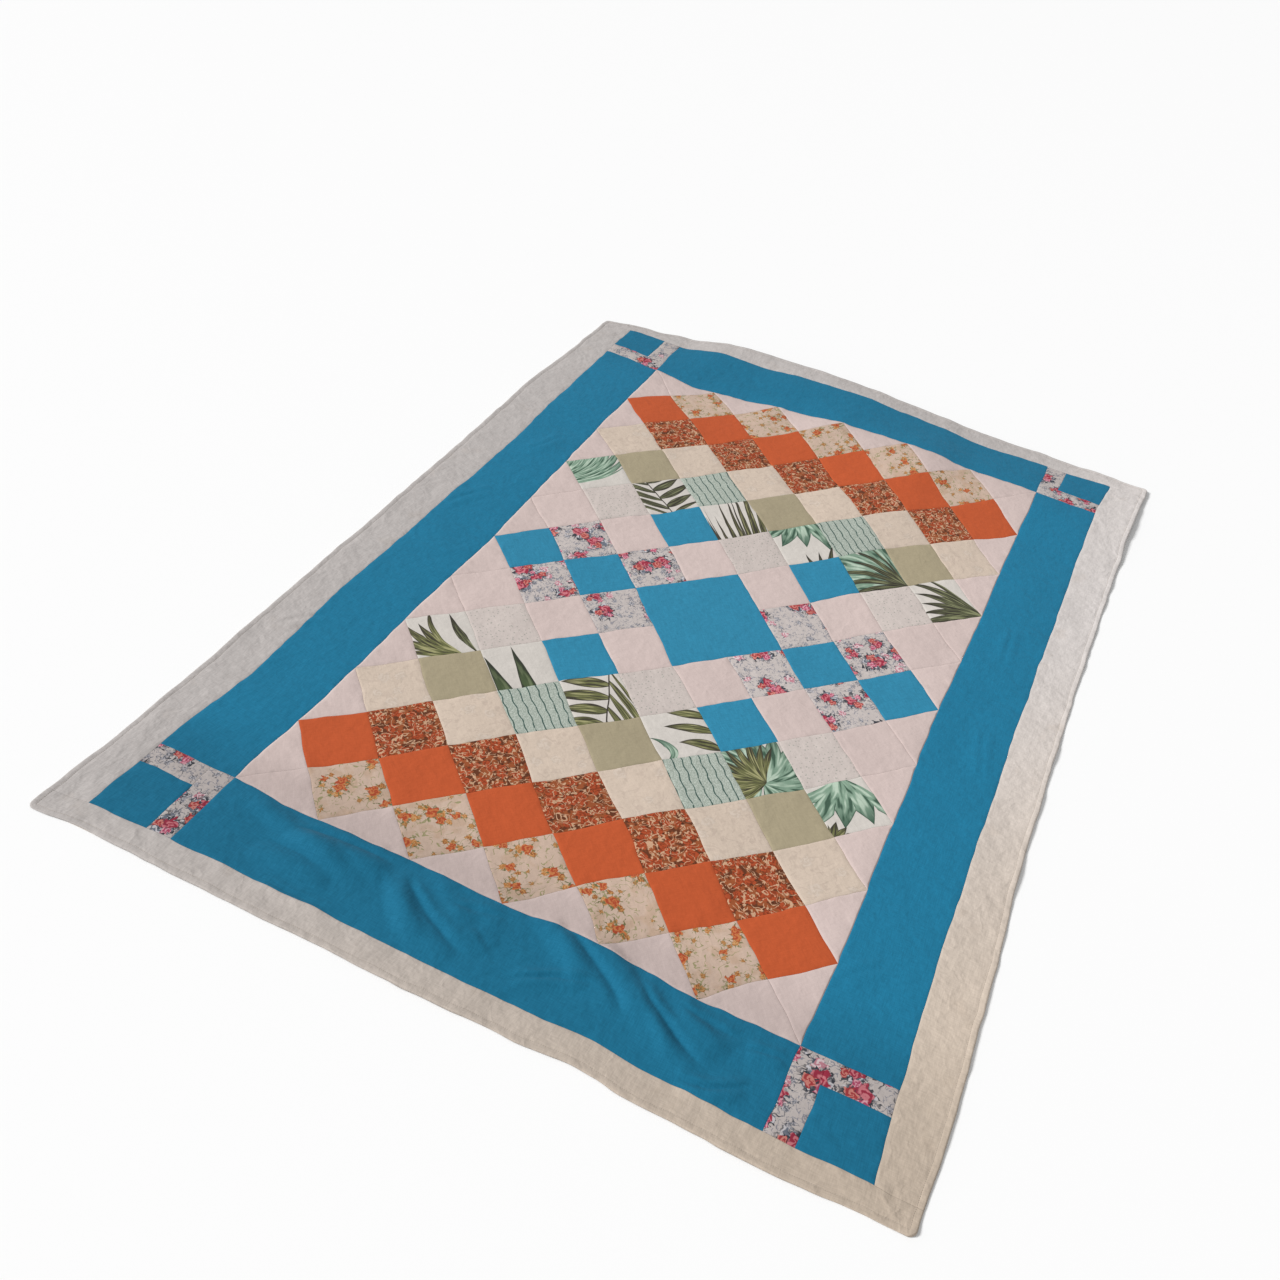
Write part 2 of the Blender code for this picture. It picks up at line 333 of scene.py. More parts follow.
def patch(middle_x, middle_y, span=1, keep=None, cut_at=(0.0, 0.0), turns=0):
    """A square set on its point, or the half of one that `keep` says, as a cut piece."""
    side = span * PATCH
    marks = graded(side, HALF_PATCH_STEP if keep else PATCH_STEP)
    along, up = (grid.reshape(-1) for grid in np.meshgrid(marks, marks))
    x = middle_x + (along - up) / ROOT2
    y = middle_y - span * PATCH_DIAGONAL / 2 + (along + up) / ROOT2
    seam = np.minimum(np.minimum(along, side - along), np.minimum(up, side - up))
    faces = grid_faces(len(marks), len(marks))
    if keep:
        inside = {
            "left": (up - along), "right": (along - up),
            "upper": (along + up - side), "lower": (side - along - up),
        }[keep] / ROOT2
        kept = inside > -1e-6
        faces = [[corner for corner in face if kept[corner]] for face in faces]
        faces = [face for face in faces if len(face) > 2]
        used = np.unique(np.concatenate(faces))
        place = np.zeros(len(x), int)
        place[used] = np.arange(len(used))
        faces = [[int(place[corner]) for corner in face] for face in faces]
        x, y, along, up = x[used], y[used], along[used], up[used]
        seam = np.minimum(seam[used], inside[used])
    quarter_turns = ((along, up), (up, side - along), (side - along, side - up), (side - up, along))
    turned_u, turned_v = quarter_turns[turns]
    return {"x": x, "y": y, "seam": seam, "allowance": along, "faces": faces,
            "u": turned_u + cut_at[0], "v": turned_v + cut_at[1], "area": side ** 2 / (2 if keep else 1)}


def strip(left, right, near, far, step=STRIP_STEP, seams="lrnf"):
    """A straight strip between four seams; `seams` names the sides that are sewn to another."""
    marks = {side: FINE_MARKS if side in seams else HEM_MARKS for side in "lrnf"}
    x_marks = left + graded(right - left, step, marks["l"], marks["r"])
    y_marks = near + graded(far - near, step, marks["n"], marks["f"])
    x, y = (grid.reshape(-1) for grid in np.meshgrid(x_marks, y_marks))
    distance = {"l": x - left, "r": right - x, "n": y - near, "f": far - y}
    seam = np.min([distance[side] for side in seams], axis=0)
    return {"x": x, "y": y, "seam": seam, "allowance": np.full_like(x, 1.0),
            "faces": grid_faces(len(x_marks), len(y_marks)), "u": x, "v": y}


def cloth_piece(name, points, faces, uv, tints, material, thickness, side):
    """Cloth on the body "root", with its cloth coordinates, its tone and its painted light and shade; its
    thickness goes down from the points with side -1, or up with side 1.
    """
    mesh = bpy.data.meshes.new(name)
    mesh.from_pydata(points.tolist(), [], faces)
    corners = np.empty(len(mesh.loops), dtype=np.int32)
    mesh.loops.foreach_get("vertex_index", corners)
    uv_layer = mesh.uv_layers.new(name="cloth")
    uv_layer.data.foreach_set("uv", uv[corners].astype(np.float32).reshape(-1))
    lot_tone_and_painted_light = mesh.attributes.new("lot_tone_and_painted_light", "FLOAT", "POINT")
    lot_tone_and_painted_light.data.foreach_set("value", tints.astype(np.float32))
    mesh.shade_smooth()
    mesh.materials.append(material)
    piece = bpy.data.objects.new(name, mesh)
    bpy.context.scene.collection.objects.link(piece)
    layer = piece.modifiers.new("one layer of cloth", "SOLIDIFY")
    layer.thickness = thickness
    layer.offset = side
    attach(piece, "root")
    return piece


def sew(name, cuts, material, nodes, flat):
    points, faces, uv, tints, count = [], [], [], [], 0
    draw = np.random.default_rng(len(cuts) * 7)
    for cut in cuts:
        # each cut's random tone, times the painted light and shade of its place
        tints.append(painted_light_and_shade(cut["x"], cut["y"]) * draw.uniform(1 - LOT_SHADE, 1 + LOT_SHADE))
        points.append(cloth_top(cut["x"], cut["y"], cut["seam"], cut["allowance"]))
        uv.append(np.stack([cut["u"], cut["v"]], axis=-1))
        faces += [[corner + count for corner in face] for face in cut["faces"]]
        count += len(cut["x"])
    piece = cloth_piece(name, np.concatenate(points), faces, np.concatenate(uv), np.concatenate(tints),
                        material, CLOTH, side=-1)
    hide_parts(*nodes)


# ---- drawing materials with formulas

def plug(tree, value, socket):
    """Give a socket a value, a colour, or what another node puts out."""
    if isinstance(value, Field):
        tree.links.new(value.socket, socket)
    elif isinstance(value, bpy.types.NodeSocket):
        tree.links.new(value, socket)
    else:
        socket.default_value = value


class Field:
    """A number that changes over the cloth. Arithmetic on it adds the nodes that work it out."""

    def __init__(self, tree, socket):
        self.tree, self.socket = tree, socket

    def math(self, operation, *others, swap=False):
        node = self.tree.nodes.new("ShaderNodeMath")
        node.operation = operation
        values = (*others, self) if swap else (self, *others)
        for value, socket in zip(values, node.inputs):
            plug(self.tree, value, socket)
        return Field(self.tree, node.outputs[0])

    def __add__(self, other):
        return self.math("ADD", other)

    def __sub__(self, other):
        return self.math("SUBTRACT", other)

    def __rsub__(self, other):
        return self.math("SUBTRACT", other, swap=True)

    def __mul__(self, other):
        return self.math("MULTIPLY", other)

    def __truediv__(self, other):
        return self.math("DIVIDE", other)

    def __rtruediv__(self, other):
        return self.math("DIVIDE", other, swap=True)

    __radd__ = __add__
    __rmul__ = __mul__

    def rising(self, start, end):
        """0 before start, 1 after end, smooth between."""
        node = self.tree.nodes.new("ShaderNodeMapRange")
        node.interpolation_type = "SMOOTHSTEP"
        for value, name in ((self, "Value"), (start, "From Min"), (end, "From Max")):
            plug(self.tree, value, node.inputs[name])
        return Field(self.tree, node.outputs["Result"])


def add_node(tree, kind, inputs=None, **settings):
    """A shader node with its settings made and its named or numbered inputs filled."""
    node = tree.nodes.new("ShaderNode" + kind)
    for name, value in settings.items():
        setattr(node, name, value)
    for name, value in (inputs or {}).items():
        plug(tree, value, node.inputs[name])
    return node


def vectors(tree, operation, *values, **named):
    """The vector that an operation makes of others, or of one and its Scale."""
    inputs = {**dict(enumerate(values)), **named}
    return add_node(tree, "VectorMath", inputs, operation=operation).outputs["Vector"]


def mixed(tree, share, first, second):
    """Colour that goes from the first to the second as the share goes from 0 to 1."""
    node = add_node(tree, "Mix", data_type="RGBA")
    for value, socket in ((share, node.inputs[0]), (first, node.inputs[6]), (second, node.inputs[7])):
        plug(tree, value, socket)
    return node.outputs[2]


def noise(tree, vector, size, detail=2.0, distortion=0.0):
    """Soft random blotches of a size, from 0 to 1."""
    node = add_node(tree, "TexNoise", {"Vector": vector, "Scale": 1 / size, "Detail": detail,
                                       "Distortion": distortion})
    return Field(tree, node.outputs[0])


def stretched(tree, vector, scale):
    """The cloth's coordinates stretched, for streaks."""
    return vectors(tree, "MULTIPLY", vector, scale)


def new_group(name, inputs, outputs):
    """A node group with named sockets, given as (name, kind, usual value)."""
    tree = bpy.data.node_groups.new(name, "ShaderNodeTree")
    for label, kind, usual in inputs:
        socket = tree.interface.new_socket(label, in_out="INPUT", socket_type="NodeSocket" + kind)
        socket.default_value = usual
    for label, kind in outputs:
        tree.interface.new_socket(label, in_out="OUTPUT", socket_type="NodeSocket" + kind)
    taken = tree.nodes.new("NodeGroupInput")
    given = tree.nodes.new("NodeGroupOutput")
    return tree, taken.outputs, given.inputs


def place_group(tree, group, **inputs):
    """A node group with its inputs filled; a _ in a name stands for a space."""
    node = tree.nodes.new("ShaderNodeGroup")
    node.node_tree = group
    for label, value in inputs.items():
        plug(tree, value, node.inputs[label.replace("_", " ")])
    return node.outputs


def colour(code):
    """Linear colour with full cover, from the usual six-figure code."""
    parts = [int(code[at:at + 2], 16) / 255 for at in (0, 2, 4)]
    return (*(part / 12.92 if part <= 0.04045 else ((part + 0.055) / 1.055) ** 2.4 for part in parts), 1.0)


GREY = colour("808080")


def parted(tree, vector):
    """The three numbers of a vector."""
    outputs = add_node(tree, "SeparateXYZ", {0: vector}).outputs
    return [Field(tree, outputs[axis]) for axis in range(3)]


def length_of(tree, vector):
    return Field(tree, add_node(tree, "VectorMath", {0: vector}, operation="LENGTH").outputs["Value"])


def luck_of(tree, number):
    """A number from 0 to 1 that is drawn once for each whole number."""
    node = add_node(tree, "TexWhiteNoise", {"W": number}, noise_dimensions="1D")
    return Field(tree, node.outputs["Value"])


def make_cloth_finish():
    """Threads, slubs, uneven dye and small creases of woven cotton."""
    tree, taken, given = new_group(
        "cloth finish",
        (("Vector", "Vector", (0, 0, 0)), ("Colour", "Color", GREY), ("Slub", "Float", 1.0),
         ("Crease", "Float", 1.0), ("Tint", "Float", 1.0)),
        (("Colour", "Color"), ("Roughness", "Float"), ("Normal", "Vector")),
    )
    vector = taken["Vector"]
    warp = noise(tree, stretched(tree, vector, (60, 620, 1)), 1.0, 1.0)
    weft = noise(tree, stretched(tree, vector, (560, 55, 1)), 1.0, 1.0)
    threads = (warp + weft - 1.0) * Field(tree, taken["Slub"])
    dye = noise(tree, vector, 0.07, 3.0) - 0.5
    fade = noise(tree, vector, 0.012, 2.0) - 0.5
    # Tint brings each cut's tone together with its painted light and shade
    shade = (1.0 + threads * 0.26 + dye * 0.12 + fade * 0.04) * taken["Tint"]
    tree.links.new(vectors(tree, "SCALE", taken["Colour"], Scale=shade), given["Colour"])
    plug(tree, 0.88 - threads * 0.2, given["Roughness"])
    fine_warp = noise(tree, stretched(tree, vector, (300, 2200, 1)), 1.0, 0.0)
    fine_weft = noise(tree, stretched(tree, vector, (2200, 300, 1)), 1.0, 0.0)
    rumple = (noise(tree, vector, 0.045, 2.0, 0.6) - 0.5).math("ABSOLUTE")
    soft = noise(tree, vector, 0.02, 2.0)
    creases = (soft * 1.2 - rumple * 1.5) * taken["Crease"]
    height = threads * 0.10 + (fine_warp + fine_weft) * 0.05 + creases
    bump = add_node(tree, "Bump", {"Height": height, "Strength": 1.0, "Distance": 0.001})
    tree.links.new(bump.outputs[0], given["Normal"])
    return tree


def make_flower_spray():
    """Painted flowers with spiky leaves behind them, scattered over a cloth."""
    tree, taken, given = new_group(
        "flower spray",
        (("Vector", "Vector", (0, 0, 0)), ("Under", "Color", GREY), ("Seed", "Float", 0.0),
         ("Shift", "Vector", (0, 0, 0)), ("Spacing", "Float", 0.04), ("Size", "Float", 0.01),
         ("Share", "Float", 0.5), ("Petals", "Float", 5.0), ("Ragged", "Float", 1.0),
         ("Petal", "Color", GREY), ("Heart", "Color", GREY), ("Leaf", "Color", GREY),
         ("Leaves", "Float", 5.0), ("Leaf reach", "Float", 0.5)),
        (("Colour", "Color"),),
    )
    size = Field(tree, taken["Size"])
    seed = vectors(tree, "SCALE", (0.137, 0.291, 0), Scale=taken["Seed"])
    vector = vectors(tree, "ADD", vectors(tree, "ADD", taken["Vector"], seed), taken["Shift"])
    cells = add_node(tree, "TexVoronoi", {"Vector": vector, "Randomness": 0.85,
                                          "Scale": 1 / Field(tree, taken["Spacing"])},
                     voronoi_dimensions="2D", feature="F1")
    brush = add_node(tree, "TexNoise", {"Vector": vector, "Scale": 0.9 / size, "Detail": 2.0})
    smear = vectors(tree, "SUBTRACT", brush.outputs["Color"], (0.5, 0.5, 0.5))
    smear = vectors(tree, "SCALE", smear, Scale=size * taken["Ragged"])
    local = vectors(tree, "ADD", vectors(tree, "SUBTRACT", vector, cells.outputs["Position"]), smear)
    local = vectors(tree, "MULTIPLY", local, (1, 1, 0))
    across, up, _ = parted(tree, local)
    turn, growth, draw = parted(tree, cells.outputs["Color"])
    angle = up.math("ARCTAN2", across) + turn * 6.283
    out = length_of(tree, local) / (size * (0.7 + growth * 0.5))
    shown = draw.math("LESS_THAN", taken["Share"])
    stroke = Field(tree, brush.outputs["Fac"])

    leaf_turn = angle * (Field(tree, taken["Leaves"]) / 6.283)
    leaf_number = leaf_turn.math("ROUND")
    leaf_luck = luck_of(tree, leaf_number + turn * 9.0)
    leaf_out = (out - 0.8) / (Field(tree, taken["Leaf reach"]) * (0.35 + leaf_luck))
    leaf_side = (leaf_turn - leaf_number).math("ABSOLUTE") * out * (6.283 / Field(tree, taken["Leaves"]))
    leaf_cover = shown * (1.0 - (leaf_side - 0.26 * (1.0 - leaf_out)).rising(-0.03, 0.03))
    leaf_colour = mixed(tree, stroke.rising(0.42, 0.68) * 0.7, taken["Leaf"], taken["Under"])
    with_leaves = mixed(tree, leaf_cover, taken["Under"], leaf_colour)

    rim = 1.0 + (angle * taken["Petals"]).math("SINE") * 0.16
    petal_cover = shown * (1.0 - (out - rim).rising(-0.06, 0.06))
    swirl = (angle * 2.0 + out * 7.0 + stroke * 14.0).math("SINE")
    petal_colour = mixed(tree, swirl.rising(-0.5, 0.8), taken["Petal"], taken["Heart"])
    tree.links.new(mixed(tree, petal_cover, with_leaves, petal_colour), given["Colour"])
    return tree


def make_vine_lines():
    """Thin wandering stems with breaks in them."""
    tree, taken, given = new_group(
        "vine lines",
        (("Vector", "Vector", (0, 0, 0)), ("Under", "Color", GREY), ("Size", "Float", 0.03),
         ("Width", "Float", 0.02), ("Share", "Float", 0.5), ("Ink", "Color", GREY)),
        (("Colour", "Color"),),
    )
    scale = 1 / Field(tree, taken["Size"])
    curl = add_node(tree, "TexNoise", {"Vector": taken["Vector"], "Scale": scale, "Detail": 1.5,
                                       "Distortion": 1.2})
    where = add_node(tree, "TexNoise", {"Vector": taken["Vector"], "Scale": scale * 1.7, "Detail": 0.0})
    line = (Field(tree, curl.outputs[0]) - 0.5).math("ABSOLUTE") / taken["Width"]
    start = 0.62 - Field(tree, taken["Share"]) * 0.3
    shown = Field(tree, where.outputs[0]).rising(start, start + 0.06)
    cover = (1.0 - line.rising(0.5, 1.0)) * shown
    tree.links.new(mixed(tree, cover, taken["Under"], taken["Ink"]), given["Colour"])
    return tree


def make_blade_ink():
    """One printed leaf blade: its cover and its streaked colours, with a darker outline and tip."""
    tree, taken, given = new_group(
        "blade ink",
        (("Under", "Color", GREY), ("Number", "Float", 0.0), ("Along", "Float", 0.0),
         ("Side", "Float", 0.0), ("Out", "Float", 0.0), ("Half width", "Float", 0.01),
         ("Shown", "Float", 1.0), ("Blade", "Color", GREY), ("Tip", "Color", GREY),
         ("Streak", "Color", GREY)),
        (("Colour", "Color"),),
    )
    along, side = Field(tree, taken["Along"]), Field(tree, taken["Side"])
    taper = (along.math("MAXIMUM", 0.0).math("POWER", 0.8) * 3.1416).math("SINE")
    half = (taper * taken["Half width"]).math("MAXIMUM", 0.0003)
    across = side.math("ABSOLUTE") / half
    edge = (across - 1.0) * half
    cover = (1.0 - edge.rising(-0.0004, 0.0004)) * along.math("LESS_THAN", 1.0) * taken["Shown"]
    streak_place = add_node(tree, "CombineXYZ", {0: side / taken["Half width"] * 2.8,
                                                 1: Field(tree, taken["Out"]) * 22.0, 2: taken["Number"]})
    streaks = noise(tree, streak_place.outputs[0], 1.0, 1.0)
    body = mixed(tree, streaks.rising(0.50, 0.64) * 0.9, taken["Blade"], taken["Streak"])
    body = mixed(tree, streaks.rising(0.47, 0.36) * 0.9, body, taken["Tip"])
    body = mixed(tree, along.rising(0.50, 1.0) * 0.8, body, taken["Tip"])
    body = mixed(tree, edge.rising(-0.0034, -0.0006) * 0.85, body, taken["Tip"])
    tree.links.new(mixed(tree, cover, taken["Under"], body), given["Colour"])
    return tree


LEAF_SOCKETS = (
    ("Vector", "Vector", (0, 0, 0)), ("Under", "Color", GREY), ("Place", "Vector", (0, 0, 0)),
    ("Turn", "Float", 0.0), ("Reach", "Float", 0.1), ("Uneven", "Float", 0.3), ("Step", "Float", 0.4),
    ("Half width", "Float", 0.01), ("Spread", "Float", 1.2), ("Skew", "Float", 0.0), ("Curl", "Float", 0.0),
    ("Blade", "Color", GREY), ("Tip", "Color", GREY), ("Streak", "Color", GREY),
)


def leaf_frame(tree, taken):
    """Distances from the leaf's foot, along it and to its left."""
    local = vectors(tree, "SUBTRACT", taken["Vector"], taken["Place"])
    back = 0.0 - Field(tree, taken["Turn"])
    turned = add_node(tree, "VectorRotate", {"Vector": local, "Angle": back}, rotation_type="Z_AXIS")
    return turned.outputs["Vector"]


def make_leaf_fan(blade_ink):
    """Long pointed blades that spring from one foot, a step apart in angle."""
    tree, taken, given = new_group("leaf fan", LEAF_SOCKETS, (("Colour", "Color"),))
    local = leaf_frame(tree, taken)
    ahead, left, _ = parted(tree, local)
    radius = length_of(tree, local)
    angle = left.math("ARCTAN2", ahead) + radius * taken["Curl"]
    steps = angle / taken["Step"]
    number = steps.math("ROUND")
    luck = luck_of(tree, number + Field(tree, taken["Turn"]) * 7.0)
    along = radius / (Field(tree, taken["Reach"]) * (1.0 - luck * taken["Uneven"]))
    shown = angle.math("ABSOLUTE").math("LESS_THAN", taken["Spread"])
    inked = place_group(tree, blade_ink, Under=taken["Under"], Number=number, Along=along,
                        Side=(steps - number) * radius * taken["Step"], Out=radius,
                        Half_width=taken["Half width"], Shown=shown, Blade=taken["Blade"],
                        Tip=taken["Tip"], Streak=taken["Streak"])
    tree.links.new(inked["Colour"], given["Colour"])
    return tree


def make_leaf_frond(blade_ink):
    """Blades to both sides of a rib, a step apart along it and leaning forward by their spread."""
    tree, taken, given = new_group("leaf frond", LEAF_SOCKETS, (("Colour", "Color"),))
    ahead, left, _ = parted(tree, leaf_frame(tree, taken))
    out = left.math("ABSOLUTE")
    foot = ahead - out * taken["Spread"] - left * taken["Skew"] - out * out * taken["Curl"]
    foot = foot + left.math("SIGN") * 0.004
    steps = foot / taken["Step"]
    number = steps.math("ROUND")
    luck = luck_of(tree, number + left.math("SIGN") * 31.0)
    along = out / (Field(tree, taken["Reach"]) * (1.0 - luck * taken["Uneven"]))
    on_rib = foot.math("GREATER_THAN", 0.0)
    inked = place_group(tree, blade_ink, Under=taken["Under"], Number=number, Along=along * 0.94 + 0.06,
                        Side=(steps - number) * Field(tree, taken["Step"]) * 0.8, Out=out,
                        Half_width=taken["Half width"], Shown=on_rib, Blade=taken["Blade"],
                        Tip=taken["Tip"], Streak=taken["Streak"])
    rib = (1.0 - out.rising(0.0009, 0.0016)) * ahead.math("GREATER_THAN", 0.0)
    tree.links.new(mixed(tree, rib, inked["Colour"], taken["Tip"]), given["Colour"])
    return tree


FINISH = make_cloth_finish()
FLOWER_SPRAY = make_flower_spray()
VINE_LINES = make_vine_lines()
BLADE_INK = make_blade_ink()
LEAF_KINDS = {"fan": make_leaf_fan(BLADE_INK), "frond": make_leaf_frond(BLADE_INK)}


def cloth_material(name, dye, slub=1.0, crease=1.0, printed=None):
    """Woven cotton: its dye, then any print over it, then the cloth's own threads and creases."""
    material = bpy.data.materials.new(name)
    material.use_nodes = True
    tree = material.node_tree
    shader = tree.nodes["Principled BSDF"]
    vector = add_node(tree, "UVMap", uv_map="cloth").outputs[0]
    # each cut's tone with its painted light and shade, kept on the cloth's points
    lot_tone_and_painted_light = add_node(tree, "Attribute", attribute_name="lot_tone_and_painted_light").outputs["Fac"]
    ink = printed(tree, vector, dye) if printed else dye
    finish = place_group(tree, FINISH, Vector=vector, Colour=ink, Slub=slub, Crease=crease, Tint=lot_tone_and_painted_light)
    tree.links.new(finish["Colour"], shader.inputs["Base Color"])
    tree.links.new(finish["Roughness"], shader.inputs["Roughness"])
    tree.links.new(finish["Normal"], shader.inputs["Normal"])
    shader.inputs["Sheen Weight"].default_value = 0.04
    shader.inputs["Specular IOR Level"].default_value = 0.12
    return material


def spray(tree, vector, under, **settings):
    """Flowers over what is printed already; colours are given by their codes."""
    for ink in ("Petal", "Heart", "Leaf"):
        settings[ink] = colour(settings[ink])
    return place_group(tree, FLOWER_SPRAY, Vector=vector, Under=under, **settings)["Colour"]


def vines(tree, vector, under, ink, **settings):
    return place_group(tree, VINE_LINES, Vector=vector, Under=under, Ink=colour(ink), **settings)["Colour"]


def rose_print(tree, vector, ground):
    """Clusters of two or three red roses among dark leaves and grey-blue sprigs."""
    ink = vines(tree, vector, ground, "8F8D94", Size=0.013, Width=0.034, Share=0.72)
    ink = spray(tree, vector, ink, Seed=3.0, Spacing=0.023, Size=0.0050, Share=0.6, Petals=4.0, Ragged=2.6,
                Petal="76777F", Heart="BDB9BC", Leaf="5C5E66", Leaves=7.0, Leaf_reach=1.6)
    ink = spray(tree, vector, ink, Seed=8.0, Spacing=0.040, Size=0.0085, Share=0.5, Petals=5.0, Ragged=2.0,
                Petal="BC7F8B", Heart="D9C6C8", Leaf="4F5560", Leaves=9.0, Leaf_reach=1.2)
    cluster = {"Seed": 1.0, "Spacing": 0.060, "Share": 0.72, "Petals": 5.0, "Leaf": "3A3D45"}
    ink = spray(tree, vector, ink, Shift=(0.004, 0.004, 0), Size=0.0165, Petal="6E7480", Heart="C9C5C8",
                Leaves=15.0, Leaf_reach=0.9, Ragged=3.0, **cluster)
    ink = spray(tree, vector, ink, Size=0.0130, Petal="9C3145", Heart="CB7880", Leaves=13.0, Leaf_reach=0.8,
                Ragged=1.6, **cluster)
    ink = spray(tree, vector, ink, Shift=(0.014, 0.006, 0), Size=0.0085, Petal="A33B3F", Heart="CC8378",
                Leaves=11.0, Leaf_reach=0.9, Ragged=1.8, **cluster)
    return spray(tree, vector, ink, Shift=(-0.005, 0.015, 0), Size=0.0070, Petal="AF4A68", Heart="D9A1AB",
                 Leaves=9.0, Leaf_reach=0.9, Ragged=1.8, **cluster)


def rust_print(tree, vector, ground):
    """Rust flowers, close together, with brown shadows and pale curls between them."""
    blotch = noise(tree, vector, 0.014, 2.0)
    ink = mixed(tree, blotch.rising(0.46, 0.56) * 0.85, ground, colour("55301F"))
    ink = spray(tree, vector, ink, Seed=2.0, Spacing=0.0205, Size=0.0098, Share=0.85, Petals=5.0,
                Ragged=1.3, Petal="A94B2B", Heart="853B21", Leaf="43261A", Leaves=6.0, Leaf_reach=0.6)
    ink = vines(tree, vector, ink, "C79F80", Size=0.0155, Width=0.038, Share=0.85)
    return spray(tree, vector, ink, Seed=6.0, Spacing=0.015, Size=0.0022, Share=0.42, Petals=4.0,
                 Ragged=2.0, Petal="CFAE90", Heart="A67B58", Leaf="59402C", Leaves=4.0, Leaf_reach=1.2)


def meadow_print(tree, vector, ground):
    """Faded orange and red meadow flowers in loose bunches, on thin green stems."""
    ink = mixed(tree, noise(tree, vector, 0.030, 3.0).rising(0.48, 0.64) * 0.35, ground, colour("AF8E6E"))
    ink = vines(tree, vector, ink, "97906B", Size=0.022, Width=0.030, Share=0.50)
    bunch = {"Seed": 9.0, "Spacing": 0.050, "Share": 0.85, "Petals": 4.0}
    ink = spray(tree, vector, ink, Seed=4.0, Spacing=0.028, Size=0.0042, Share=0.5, Petals=4.0, Ragged=2.4,
                Petal="9A6A3E", Heart="BA8C5A", Leaf="77734E", Leaves=6.0, Leaf_reach=2.2)
    ink = spray(tree, vector, ink, Shift=(0.012, -0.005, 0), Size=0.0060, Petal="B0743F", Heart="C79868",
                Leaf="6D6B47", Leaves=7.0, Leaf_reach=1.9, Ragged=2.0, **bunch)
    ink = spray(tree, vector, ink, Shift=(-0.007, 0.013, 0), Size=0.0050, Petal="8F5533", Heart="C08C55",
                Leaf="7B7650", Leaves=6.0, Leaf_reach=1.8, Ragged=2.2, **bunch)
    return spray(tree, vector, ink, Size=0.0084, Petal="A84A2F", Heart="C07748", Leaf="6E6C48", Leaves=6.0,
                 Leaf_reach=1.4, Ragged=2.0, **bunch)


def calico_print(tree, vector, ground):
    """Unprinted cloth, yellower towards the near right corner, with faint marks."""
    across, up, _ = parted(tree, vector)
    ink = mixed(tree, (across - up).rising(0.2, 1.7), ground, colour("C4B4A3"))
    return mixed(tree, noise(tree, vector, 0.055, 3.0).rising(0.58, 0.74) * 0.10, ink, colour("AA957F"))


def tonal_print(tree, vector, ground):
    """Faint beige curls and flowers, a shade darker than the cream under them."""
    ink = vines(tree, vector, ground, "C4B3A4", Size=0.030, Width=0.05, Share=0.5)
    return spray(tree, vector, ink, Seed=6.0, Spacing=0.040, Size=0.011, Share=0.6, Petals=5.0, Ragged=1.2,
                 Petal="C5B5A6", Heart="CDBEB0", Leaf="C3B3A3", Leaves=5.0, Leaf_reach=0.9)


def dotted_print(tree, vector, ground):
    """Small grey-green specks, close together."""
    return spray(tree, vector, ground, Seed=7.0, Spacing=0.0085, Size=0.0013, Share=0.65, Petals=3.0,
                 Ragged=1.5, Petal="979E95", Heart="B5A49F", Leaf="B9BAB0", Leaves=3.0, Leaf_reach=1.2)


def wavy_print(tree, vector, ground):
    """Dark wavy pinstripes over a pale ground with a fine broken texture."""
    across, along, _ = parted(tree, vector)
    hatch = noise(tree, stretched(tree, vector, (620, 240, 1)), 1.0, 0.0)
    ground = mixed(tree, hatch.rising(0.45, 0.60) * 0.8, ground, colour("BBC2B9"))
    wave = (along * (6.2832 / 0.034)).math("SINE") * 0.0010 + (noise(tree, vector, 0.02, 1.0) - 0.5) * 0.004
    line = (((across + wave) / 0.0168).math("FRACT") - 0.5).math("ABSOLUTE") * 0.0168
    pressed = noise(tree, vector, 0.009, 1.0).rising(0.2, 0.45)
    return mixed(tree, (1.0 - line.rising(0.0008, 0.0015)) * pressed, ground, colour("3B5650"))


